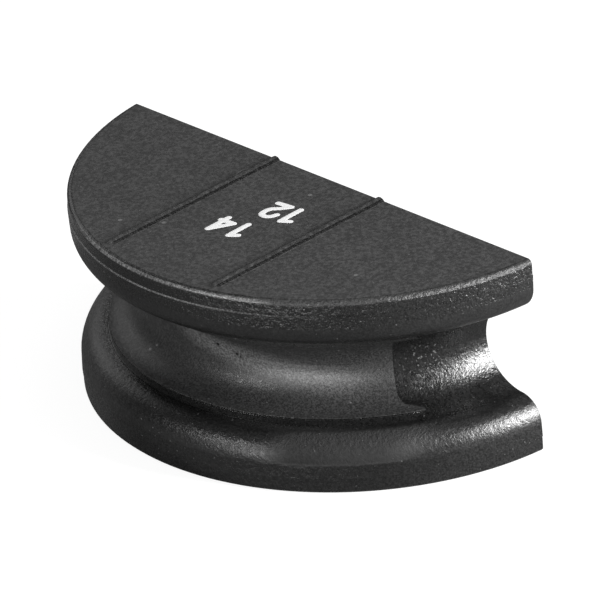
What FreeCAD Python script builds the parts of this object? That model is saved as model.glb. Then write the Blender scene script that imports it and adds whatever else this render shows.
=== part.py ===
import FreeCAD, Part
import math
import os

os.makedirs("parts", exist_ok=True)

# Driving dimensions, in millimetres and degrees. Radii are measured from the bend axis,
# heights from the mid-plane of the groove, angles from the middle of the curved front.

# Pipe and bend: the pipe's centre line runs on the bend radius.
pipe_diameter = 14.0
bend_radius = 45.0

# Blank: a disc with a rounded upper rim edge and a barely broken lower one, cut flat a little in
# front of the bend axis.
rim_radius = 50.0
thickness = 37.6
back_setback = 5.0
rim_edge_radius = 0.9
underside_chamfer = 0.4

# Parting line: the side slides leave the rim a trace prouder than the two end plates do.
parting_height = 15.9
parting_step = 0.12
rim_draft = 0.1

# Groove of the relieved ends: a wide hollow that rolls out over rounded lips on to the rim.
relief_clearance = 1.65
lip_radius = 4.7

# Pipe seat: a half-round band that stands proud of the relieved groove.
seat_rise = 0.35
seat_edge_inset = 0.4
seat_edge_chamfer = 0.25
seat_half_angle = 54.8
seat_end_corner = 1.5
seat_end_height = 6.55
seat_tip_start = 1.2
seat_tip_reach = 4.3

# Two raised beads on the top face, square to the flat back and rounded at their front ends.
bead_offset = 13.0
bead_width = 2.0
bead_height = 0.55
bead_rim_gap = 2.0

# Blind round socket for the ram in the middle of the flat back.
socket_radius = 8.0
socket_depth = 20.0
socket_chamfer = 0.6

# Values that follow from the dimensions above.
half_height = thickness / 2
pipe_radius = pipe_diameter / 2
seat_floor = bend_radius - pipe_radius
relief_radius = pipe_radius + relief_clearance
relief_centre = seat_floor - seat_rise + relief_radius
rim_root = rim_radius - rim_draft
lip_centre = rim_root - lip_radius
lip_height = math.sqrt((relief_radius + lip_radius) ** 2 - (relief_centre - lip_centre) ** 2)
rim_upper = rim_radius - parting_step
axis = FreeCAD.Vector(0, 0, 1)
centre = FreeCAD.Vector(0, 0, 0)


def at(radius, height):
    return FreeCAD.Vector(radius, 0, height)


def line(start, end):
    return Part.LineSegment(at(*start), at(*end)).toShape()


def arc(middle, radius, first, last):
    points = []
    for angle in (first, (first + last) / 2, last):
        turn = math.radians(angle)
        points.append(at(middle[0] + radius * math.cos(turn), middle[1] + radius * math.sin(turn)))
    return Part.Arc(*points).toShape()


def mirrored(edges):
    return [edge.mirror(centre, axis) for edge in edges]


def face_of(edges):
    return Part.Face(Part.Wire(Part.__sortEdges__(edges)))


# Section of the blank: hollow of the relieved groove, rounded lip, drafted rim and parting step,
# the same above and below the mid-plane, then the rounded upper edge and the broken lower one.
roll = math.degrees(math.atan2(lip_height, lip_centre - relief_centre))
rim_edge_start = half_height - rim_edge_radius
upper = [
    arc((relief_centre, 0), relief_radius, 180, roll),
    arc((lip_centre, lip_height), lip_radius, roll - 180, 0),
    line((rim_root, lip_height), (rim_radius, parting_height)),
    line((rim_radius, parting_height), (rim_upper, parting_height)),
]
top_end = [
    line((rim_upper, parting_height), (rim_upper, rim_edge_start)),
    arc((rim_upper - rim_edge_radius, rim_edge_start), rim_edge_radius, 0, 90),
    line((rim_upper - rim_edge_radius, half_height), (0, half_height)),
]
chamfer_start = (rim_upper, underside_chamfer - half_height)
chamfer_end = (rim_upper - underside_chamfer, -half_height)
under_end = [
    line((rim_upper, -parting_height), chamfer_start),
    line(chamfer_start, chamfer_end),
    line(chamfer_end, (0, -half_height)),
]
core = line((0, half_height), (0, -half_height))
section = face_of(upper + mirrored(upper) + top_end + under_end + [core])
blank = section.revolve(centre, FreeCAD.Vector(0, 0, -1), 180)

# Flat back, parallel to the bend axis and a little in front of it.
cutter = Part.makeBox(4 * rim_radius, 2 * rim_radius, 4 * half_height)
cutter.translate(FreeCAD.Vector(-2 * rim_radius, -back_setback, -2 * half_height))
blank = blank.cut(cutter)

# Section of the pipe seat: half-round hollow on the bend radius, broken edge and flat land.
land_radius = bend_radius - seat_edge_inset
land_reach = math.sqrt(relief_radius ** 2 - (relief_centre - land_radius) ** 2) + seat_rise
edge_start = land_radius - seat_edge_chamfer
edge_height = math.sqrt(pipe_radius ** 2 - (bend_radius - edge_start) ** 2)
edge_turn = math.degrees(math.atan2(edge_height, edge_start - bend_radius))
seat_root = seat_floor - seat_rise - pipe_radius / 2
upper = [
    arc((bend_radius, 0), pipe_radius, 180, edge_turn),
    line((edge_start, edge_height), (land_radius, edge_height + seat_edge_chamfer)),
    line((land_radius, edge_height + seat_edge_chamfer), (land_radius, land_reach)),
    line((land_radius, land_reach), (seat_root, land_reach)),
]
root = line((seat_root, land_reach), (seat_root, -land_reach))
section = face_of(upper + mirrored(upper) + [root])
tip_half_angle = seat_half_angle + math.degrees(math.atan(seat_tip_reach / seat_floor)) + 1
section.rotate(centre, axis, tip_half_angle - 90)
seat = section.revolve(centre, FreeCAD.Vector(0, 0, -1), 2 * tip_half_angle)

# Round-cornered recess at each end of the seat. Its sides run out to the seat's edges, and the
# land beyond narrows to meet them, which leaves a pointed tip above and one below.
inner = seat_end_height - seat_end_corner
turn = math.sqrt(0.5) * seat_end_corner
beyond = seat_tip_reach + 3


def across(along, height):
    return FreeCAD.Vector(seat_root - 1, along, height)


def side_of(sign):
    points = [
        (seat_end_corner, seat_end_height),
        (seat_tip_reach, edge_height),
        (seat_tip_start, land_reach + 0.1),
        (seat_tip_start, land_reach + 2),
        (beyond, land_reach + 2),
    ]
    corner = Part.Arc(
        across(0, sign * inner),
        across(seat_end_corner - turn, sign * (inner + turn)),
        across(seat_end_corner, sign * seat_end_height),
    )
    edges = [corner.toShape()]
    for first, last in zip(points, points[1:]):
        edges.append(Part.LineSegment(across(first[0], sign * first[1]), across(last[0], sign * last[1])).toShape())
    return edges


outline = side_of(1) + side_of(-1)
outline.append(Part.LineSegment(across(0, -inner), across(0, inner)).toShape())
outline.append(Part.LineSegment(across(beyond, -land_reach - 2), across(beyond, land_reach + 2)).toShape())
recess = face_of(outline).extrude(FreeCAD.Vector(rim_radius - seat_root + 2, 0, 0))
recess.rotate(centre, axis, seat_half_angle - 90)
seat = seat.cut(recess)
seat = seat.cut(recess.mirror(centre, FreeCAD.Vector(1, 0, 0)))
former = blank.fuse(seat)

# Beads: a low round back, with the same round taken about the front end.
bead_radius = (bead_width ** 2 / 4 + bead_height ** 2) / (2 * bead_height)
bead_height_centre = half_height + bead_height - bead_radius
bead_front = math.sqrt(rim_radius ** 2 - bead_offset ** 2) - bead_rim_gap - bead_width / 2
for side in (-1, 1):
    start = FreeCAD.Vector(side * bead_offset, -bead_front, bead_height_centre)
    bead = Part.makeCylinder(bead_radius, bead_front - back_setback, start, FreeCAD.Vector(0, 1, 0))
    bead = bead.fuse(Part.makeSphere(bead_radius, start))
    former = former.fuse(bead)

# Ram socket with a chamfered mouth.
mouth = FreeCAD.Vector(0, -back_setback, 0)
inward = FreeCAD.Vector(0, -1, 0)
former = former.cut(Part.makeCylinder(socket_radius, socket_depth, mouth, inward))
former = former.cut(Part.makeCone(socket_radius + socket_chamfer, socket_radius, socket_chamfer, mouth, inward))

# The part rests on its underside, with the middle of its footprint at the origin.
former = former.removeSplitter()
former.translate(FreeCAD.Vector(0, (rim_radius + back_setback) / 2, half_height))
former = former.Solids[0]
former.exportStep("parts/bending_former.step")
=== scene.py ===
import bpy
import math
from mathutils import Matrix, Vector


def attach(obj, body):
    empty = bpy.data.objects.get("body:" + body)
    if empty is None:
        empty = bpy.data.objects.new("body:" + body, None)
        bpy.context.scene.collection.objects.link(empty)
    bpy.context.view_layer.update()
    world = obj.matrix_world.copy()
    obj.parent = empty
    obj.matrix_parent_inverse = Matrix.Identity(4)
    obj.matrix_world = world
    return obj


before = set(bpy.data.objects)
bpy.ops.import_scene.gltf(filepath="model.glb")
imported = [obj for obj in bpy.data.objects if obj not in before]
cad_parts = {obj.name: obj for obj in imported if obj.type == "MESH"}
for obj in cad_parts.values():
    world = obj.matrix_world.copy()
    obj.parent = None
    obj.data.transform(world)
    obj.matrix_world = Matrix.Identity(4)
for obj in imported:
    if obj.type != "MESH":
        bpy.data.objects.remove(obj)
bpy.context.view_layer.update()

# Camera of the photograph: a long lens 1.3 m away, about halfway between the front and the right, and
# looking down on the top face. It leans a little, as the slanting upright edges of the former show.
tilt = 62.086057
lean = 3.949689
turn = 45.195784
camera_data = bpy.data.cameras.new("camera")
camera_data.sensor_width = 36
camera_data.lens = 442.21
camera_data.clip_end = 20
camera = bpy.data.objects.new("camera", camera_data)
bpy.context.scene.collection.objects.link(camera)
camera.location = (0.84661, -0.76807, 0.62582)
camera.rotation_euler = (math.radians(tilt), math.radians(lean), math.radians(turn))
bpy.context.scene.camera = camera

# Former: one moulding in charcoal glass-filled plastic. The end faces and the back are grained and
# matte, the pipe seat is satin, and the relieved hollow with its lips is polished. The material finds
# each of these by its place on the solid, in metres, with the part's own sizes below.
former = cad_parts["bending_former"]
bend_radius = 0.045
bend_axis = 0.0275
mid_height = 0.0188
top_face = 0.0376
back = 0.0225
pipe_radius = 0.007
socket_mouth = 0.0086
socket_floor = 0.0025
bead_offset = 0.013

plastic = bpy.data.materials.new("filled_plastic")
plastic.use_nodes = True
nodes = plastic.node_tree.nodes
links = plastic.node_tree.links
shader = nodes["Principled BSDF"]
place = nodes.new("ShaderNodeTexCoord")
apart = nodes.new("ShaderNodeSeparateXYZ")
links.new(place.outputs["Object"], apart.inputs[0])
along, forth, above = apart.outputs


def feed(slot, value):
    if isinstance(value, (int, float)):
        slot.default_value = value
    else:
        links.new(value, slot)


def calc(kind, *values):
    node = nodes.new("ShaderNodeMath")
    node.operation = kind
    for slot, value in zip(node.inputs, values):
        feed(slot, value)
    return node.outputs[0]


def times(first, *others):
    for other in others:
        first = calc("MULTIPLY", first, other)
    return first


def most(first, *others):
    for other in others:
        first = calc("MAXIMUM", first, other)
    return first


def away(value, middle):
    return calc("ABSOLUTE", calc("SUBTRACT", value, middle))


def reach(first, second):
    return calc("SQRT", calc("ADD", times(first, first), times(second, second)))


def gap_to(x, y, z):
    node = nodes.new("ShaderNodeVectorMath")
    node.operation = "DISTANCE"
    links.new(place.outputs["Object"], node.inputs[0])
    node.inputs[1].default_value = (x, y, z)
    return node.outputs["Value"]


def ramp(value, low, high, start=0.0, end=1.0):
    node = nodes.new("ShaderNodeMapRange")
    node.interpolation_type = "SMOOTHSTEP"
    links.new(value, node.inputs["Value"])
    node.inputs["From Min"].default_value = low
    node.inputs["From Max"].default_value = high
    node.inputs["To Min"].default_value = start
    node.inputs["To Max"].default_value = end
    return node.outputs["Result"]


def fade(value, low, high):
    return ramp(value, low, high, 1.0, 0.0)


def band(value, rise_from, rise_to, fall_from, fall_to):
    return times(ramp(value, rise_from, rise_to), fade(value, fall_from, fall_to))


def spot(x, y, z, size):
    return fade(gap_to(x, y, z), size * 0.6, size)


def noise(scale, detail, rough):
    node = nodes.new("ShaderNodeTexNoise")
    node.inputs["Scale"].default_value = scale
    node.inputs["Detail"].default_value = detail
    node.inputs["Roughness"].default_value = rough
    links.new(place.outputs["Object"], node.inputs["Vector"])
    return node.outputs["Fac"]


def mix(factor, first, second):
    node = nodes.new("ShaderNodeMix")
    links.new(factor, node.inputs["Factor"])
    feed(node.inputs["A"], first)
    feed(node.inputs["B"], second)
    return node.outputs["Result"]


def layered(value, *coats):
    for mask, coat in coats:
        value = mix(mask, value, coat)
    return value


# Places on the solid: distance from the bend axis, from mid height and from the pipe's centre line.
radius = reach(along, calc("SUBTRACT", forth, bend_axis))
height = away(above, mid_height)
from_pipe = reach(calc("SUBTRACT", radius, bend_radius), height)

# Surfaces: pipe seat, end faces and back, ram socket, rims, the seat's broken edge, the lips of the
# hollow, the rounded upper edge, the upper parting line and the beads.
seat = fade(from_pipe, pipe_radius + 0.00002, pipe_radius + 0.00012)
end_faces = ramp(height, mid_height - 0.0001, mid_height - 0.00002)
flat = most(end_faces, ramp(forth, back - 0.00006, back - 0.00001))
socket = times(
    fade(reach(along, height), socket_mouth + 0.00002, socket_mouth + 0.00008),
    ramp(forth, socket_floor - 0.0010, socket_floor - 0.0005),
)
rim = most(ramp(radius, 0.0485, 0.0496), ramp(height, 0.0115, 0.0135))
seat_edge = times(
    band(radius, 0.04450, 0.04457, 0.0447, 0.0448),
    band(height, 0.0069, 0.0071, 0.0092, 0.0094),
    fade(calc("ABSOLUTE", along), 0.0374, 0.0384),
)
lip = times(ramp(radius, 0.0452, 0.0470), fade(height, 0.0130, 0.0138))
upper_edge = times(ramp(above, top_face - 0.0010, top_face - 0.0008), ramp(radius, 0.0488, 0.0490))
# The upper parting line is painted bright, fading out to the right: a painted highlight.
painted_parting_highlight = times(
    band(above, 0.03454, 0.03462, 0.03478, 0.03486),
    fade(forth, back - 0.0002, back - 0.0001),
    fade(along, 0.005, 0.035),
)
bead = ramp(above, top_face + 0.00002, top_face + 0.00008)
# The dark lines along both feet of each bead are painted shade.
painted_crease_shade = times(
    band(away(calc("ABSOLUTE", along), bead_offset), 0.00046, 0.00058, 0.00092, 0.00102),
    ramp(above, top_face - 0.00005, top_face - 0.00001),
    ramp(forth, -0.0186, -0.0180),
)

# Changes along the surfaces: a painted highlight on a stretch of the upper edge, a painted highlight
# slanting through the seat, painted light that makes the left end paler, the dull patch on the lower lip
# at the right, and the lower rim.
# Painted highlight: lighter colour along part of the rounded upper edge where its highlight falls, fading
# out to the right.
painted_edge_highlight = times(
    band(above, 0.03688, 0.03704, 0.03738, 0.03752),
    ramp(radius, 0.0488, 0.0490),
    band(along, -0.030, -0.014, 0.0205, 0.0255),
)
# The seat's paler streak is a painted highlight: lighter colour laid in a slanting band where the seat's
# highlight falls.
seat_highlight_slope = 0.17
seat_highlight_height = 0.0202
from_seat_highlight = away(calc("ADD", above, times(along, seat_highlight_slope)), seat_highlight_height)
painted_seat_highlight = times(seat, fade(from_seat_highlight, 0.0004, 0.0032), band(along, -0.014, 0.0, 0.018, 0.032))
# Painted light: the hollow, the rims and the seat's broken edge are given a paler colour towards the left
# end.
painted_light_left_end = fade(along, -0.024, -0.004)
dull = times(lip, band(along, 0.019, 0.027, 0.037, 0.044), band(above, 0.0050, 0.0060, 0.010, 0.014))
lower_rim = fade(above, 0.007, 0.010)

# Grain, and painted glints: pale specks here and there that crowd together past the right end of the
# seat.
coarse = noise(1100, 2.0, 0.6)
grain = noise(3000, 2.0, 0.6)
speckle = noise(1400, 2.5, 0.65)
patches = noise(140, 3.0, 0.5)
glint_noise = noise(1900, 1.0, 0.5)
crowd = fade(gap_to(0.034, 0.0105, 0.0170), 0.002, 0.0055)
painted_glints = most(ramp(glint_noise, 0.75, 0.79), times(crowd, ramp(glint_noise, 0.62, 0.68)))

# Marks: dark pits in the seat and the lower lip, pale nicks in the seat and the top face, and one
# bow-shaped scratch on the top face beside the left bead.
pits = most(
    spot(0.00404, -0.01039, 0.01999, 0.00042),
    spot(0.00795, -0.00967, 0.0190, 0.0004),
    spot(0.00860, -0.00940, 0.0186, 0.0003),
    spot(0.01768, -0.01898, 0.00673, 0.0004),
)
nicks = most(
    spot(-0.01344, -0.01083, 0.01334, 0.0004),
    spot(-0.01218, -0.01022, 0.0143, 0.0003),
    spot(-0.01807, -0.01104, top_face, 0.0005),
    spot(-0.01119, -0.00694, top_face, 0.0005),
    spot(0.0018, 0.01623, top_face, 0.0005),
    spot(0.02951, -0.00019, top_face, 0.0005),
)
scratch_radius = 0.00287
from_scratch = away(gap_to(-0.01180, 0.01529, top_face), scratch_radius)
scratch = times(
    fade(from_scratch, 0.00006, 0.00022),
    fade(along, -0.0134, -0.0130),
    ramp(above, top_face - 0.0001, top_face - 0.00002),
    0.7,
)

# Grey of the plastic: each surface in turn covers those before it.
tone = layered(
    mix(painted_light_left_end, 0.004, 0.022),
    (seat, mix(painted_seat_highlight, 0.016, 0.062)),
    # The rims are painted lighter towards the right end and at the left end: painted light.
    (rim, mix(painted_light_left_end, ramp(along, 0.034, 0.046, 0.005, 0.010), 0.020)),
    # The dull patch is painted darker as well: painted shade.
    (dull, 0.002),
    (socket, 0.018),
    (flat, 0.0243),
    (seat_edge, mix(painted_light_left_end, 0.006, 0.024)),
    (upper_edge, 0.010),
    (painted_parting_highlight, 0.12),
    (times(painted_edge_highlight, ramp(coarse, 0.30, 0.55, 0.4, 1.0)), 0.11),
    (bead, ramp(coarse, 0.42, 0.60, 0.014, 0.032)),
    (times(painted_crease_shade, ramp(coarse, 0.22, 0.40)), 0.001),
)
mottle = mix(flat, ramp(grain, 0.36, 0.66, 0.5, 1.6), ramp(speckle, 0.38, 0.66, 0.62, 1.42))
tone = times(tone, mottle, ramp(patches, 0.3, 0.7, 0.92, 1.08))
tone = layered(tone, (painted_glints, 0.08), (most(nicks, scratch), 0.085), (pits, 0.0))
colour = nodes.new("ShaderNodeCombineColor")
for slot in colour.inputs[:3]:
    links.new(tone, slot)
links.new(colour.outputs[0], shader.inputs["Base Color"])

# Roughness, from the polished rims to the matte end faces and the dull patch.
rough = layered(
    0.30,
    (seat, 0.41),
    (rim, 0.27),
    (lip, 0.36),
    (dull, 0.85),
    (socket, 0.45),
    (flat, 0.62),
    (seat_edge, 0.30),
    (painted_crease_shade, 0.42),
    (upper_edge, ramp(along, 0.021, 0.026, 0.28, 0.48)),
)
rough = calc("ADD", rough, ramp(speckle, 0.3, 0.7, -0.06, 0.06))
links.new(rough, shader.inputs["Roughness"])

# Form: the beads are shaded flatter than they stand, and the seat's lower edge is tilted a little, so
# that both catch the light as in the photo.
bead_flattening = -0.7
edge_tilt = -0.25
edge_middle = 0.0081
proud = times(most(calc("SUBTRACT", above, top_face), 0.0), bead_flattening)
sunk = times(seat_edge, calc("SUBTRACT", height, edge_middle), edge_tilt, fade(above, 0.015, 0.016))
form = nodes.new("ShaderNodeBump")
form.inputs["Distance"].default_value = 1.0
links.new(calc("ADD", proud, sunk), form.inputs["Height"])

# Depth of the grain: its full depth, in metres, and the share of it that each surface has.
grain_depth = 0.00013
coarse_share = 1.8
depth = layered(
    0.45,
    (seat, 0.26),
    (rim, 0.9),
    (lip, mix(dull, ramp(along, 0.040, 0.046, 0.42, 0.30), 1.5)),
    (lower_rim, 0.45),
    (seat_edge, 0.1),
    (upper_edge, ramp(along, 0.021, 0.026, 0.30, 1.20)),
    (socket, 0.2),
    (flat, 0.48),
    (bead, 0.8),
)
bump = nodes.new("ShaderNodeBump")
bump.inputs["Distance"].default_value = grain_depth
links.new(depth, bump.inputs["Strength"])
links.new(calc("ADD", grain, times(coarse, coarse_share)), bump.inputs["Height"])
links.new(form.outputs[0], bump.inputs["Normal"])
links.new(bump.outputs[0], shader.inputs["Normal"])
former.data.materials.clear()
former.data.materials.append(plastic)

# Printed figures: the pipe's size, pad printed in white ink on the top face between the two beads.
# The strokes have round ends, and the figures stand upright as seen from the back. Their points are
# in millimetres.
ink = bpy.data.materials.new("white_ink")
ink.use_nodes = True
ink_shader = ink.node_tree.nodes["Principled BSDF"]
ink_shader.inputs["Base Color"].default_value = (0.60, 0.60, 0.60, 1)
ink_shader.inputs["Roughness"].default_value = 0.45
stroke_radius = 0.0006
ink_height = 0.00003
millimetre = 0.001
figures = (
    ("figure_1_of_14", [(1.17, 1.61), (1.26, -3.34), (2.63, -2.34)]),
    ("figure_4_of_14", [(-3.46, 1.34), (-3.38, -3.78), (-1.14, 0.28), (-4.0, 0.04)]),
    ("figure_1_of_12", [(4.57, 11.17), (4.68, 6.01), (6.19, 6.92)]),
    ("figure_2_of_12", [
        (-0.44, 10.58), (2.48, 10.9), (1.25, 9.3), (0.3, 8.45), (-0.02, 7.95), (-0.14, 7.3), (-0.12, 6.6),
        (0.08, 5.98), (0.5, 5.68), (1.05, 5.58), (1.55, 5.68), (1.98, 6.02), (2.3, 6.6), (2.5, 7.3),
    ]),
)
for name, points in figures:
    bpy.ops.object.select_all(action="DESELECT")
    curve = bpy.data.curves.new(name, "CURVE")
    curve.dimensions = "3D"
    curve.bevel_depth = stroke_radius
    curve.bevel_resolution = 4
    curve.use_fill_caps = True
    for ends in zip(points, points[1:]):
        spline = curve.splines.new("POLY")
        spline.points.add(1)
        for point, (x, y) in zip(spline.points, ends):
            point.co = (x * millimetre, y * millimetre, top_face, 1)
    line = bpy.data.objects.new(name, curve)
    bpy.context.scene.collection.objects.link(line)
    line.select_set(True)
    bpy.context.view_layer.objects.active = line
    bpy.ops.object.convert(target="MESH")
    figure = bpy.context.active_object
    for x, y in points:
        bpy.ops.mesh.primitive_uv_sphere_add(segments=16, ring_count=8, radius=stroke_radius)
        bpy.ops.transform.translate(value=(x * millimetre, y * millimetre, top_face))
        bpy.context.active_object.select_set(True)
        figure.select_set(True)
        bpy.context.view_layer.objects.active = figure
        bpy.ops.object.join()
    figure.data.remesh_voxel_size = 0.0001
    bpy.ops.object.voxel_remesh()
    bpy.ops.object.mode_set(mode="EDIT")
    bpy.ops.mesh.select_all(action="SELECT")
    bpy.ops.transform.resize(value=(1, 1, ink_height / stroke_radius), center_override=(0, 0, top_face))
    bpy.ops.object.mode_set(mode="OBJECT")
    bpy.ops.object.shade_smooth()
    figure.data.materials.clear()
    figure.data.materials.append(ink)
    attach(figure, "root")

# Floor: a wide pale sheet that the former stands on. It lies a hair below the underside, looks white to
# the camera, and can be seen through from below.
floor_size = 8
floor_drop = 0.0001
floor_white = 0.88
bpy.ops.object.select_all(action="DESELECT")
bpy.ops.mesh.primitive_plane_add(size=floor_size, location=(0, 0, -floor_drop))
floor = bpy.context.active_object
floor.name = "floor"
sheet = bpy.data.materials.new("floor")
sheet.use_nodes = True
nodes = sheet.node_tree.nodes
links = sheet.node_tree.links
shader = nodes["Principled BSDF"]
shader.inputs["Base Color"].default_value = (0.18, 0.18, 0.18, 1)
shader.inputs["Roughness"].default_value = 0.9
shader.inputs["Specular IOR Level"].default_value = 0.0
shader.inputs["Emission Color"].default_value = (1, 1, 1, 1)
ray = nodes.new("ShaderNodeLightPath")
lift = nodes.new("ShaderNodeMath")
lift.operation = "MULTIPLY"
lift.inputs[1].default_value = floor_white
links.new(ray.outputs["Is Camera Ray"], lift.inputs[0])
links.new(lift.outputs[0], shader.inputs["Emission Strength"])
facing = nodes.new("ShaderNodeNewGeometry")
clear = nodes.new("ShaderNodeBsdfTransparent")
both = nodes.new("ShaderNodeMixShader")
links.new(facing.outputs["Backfacing"], both.inputs[0])
links.new(shader.outputs[0], both.inputs[1])
links.new(clear.outputs[0], both.inputs[2])
links.new(both.outputs[0], nodes["Material Output"].inputs["Surface"])
floor.data.materials.append(sheet)

# Light: a white room with a strong lamp on the right, a long low one in front, a small one at the front
# left, a dim broad one on the left and one overhead. A lamp's angles are in degrees from the front and
# from the floor, then its roll, its width and height in metres, and its power in watts.
room_light = 0.08
room_white = 1.0
world = bpy.data.worlds.new("room")
bpy.context.scene.world = world
world.use_nodes = True
nodes = world.node_tree.nodes
links = world.node_tree.links
room = nodes["Background"]
room.inputs["Color"].default_value = (1, 1, 1, 1)
ray = nodes.new("ShaderNodeLightPath")
level = nodes.new("ShaderNodeMix")
level.inputs["A"].default_value = room_light
level.inputs["B"].default_value = room_white
links.new(ray.outputs["Is Camera Ray"], level.inputs["Factor"])
links.new(level.outputs["Result"], room.inputs["Strength"])
lamp_distance = 0.7
lamp_target = Vector((0, bend_axis, mid_height))
lamps = (
    ("lamp_right", 114, 17, 0, 0.24, 0.40, 16.5),
    ("lamp_front", 18, 6, 22, 0.85, 0.18, 5.1),
    ("lamp_left", -10, 28, 0, 0.14, 0.10, 1.25),
    ("lamp_far_left", -100, 26, 0, 0.50, 0.36, 0.42),
    ("lamp_overhead", 200, 88, 0, 0.45, 0.45, 1.75),
)
for name, around, upward, roll, width, tall, power in lamps:
    lamp_data = bpy.data.lights.new(name, "AREA")
    lamp_data.shape = "ELLIPSE"
    lamp_data.size = width
    lamp_data.size_y = tall
    lamp_data.energy = power
    lamp = bpy.data.objects.new(name, lamp_data)
    bpy.context.scene.collection.objects.link(lamp)
    side = math.radians(around)
    rise = math.radians(upward)
    toward = Vector((math.sin(side) * math.cos(rise), -math.cos(side) * math.cos(rise), math.sin(rise)))
    lamp.location = toward * lamp_distance + lamp_target
    lamp.rotation_euler = toward.to_track_quat("Z", "Y").to_euler()
    lamp.rotation_euler.rotate_axis("Z", math.radians(roll))

scene = bpy.context.scene
scene.view_settings.view_transform = "Standard"
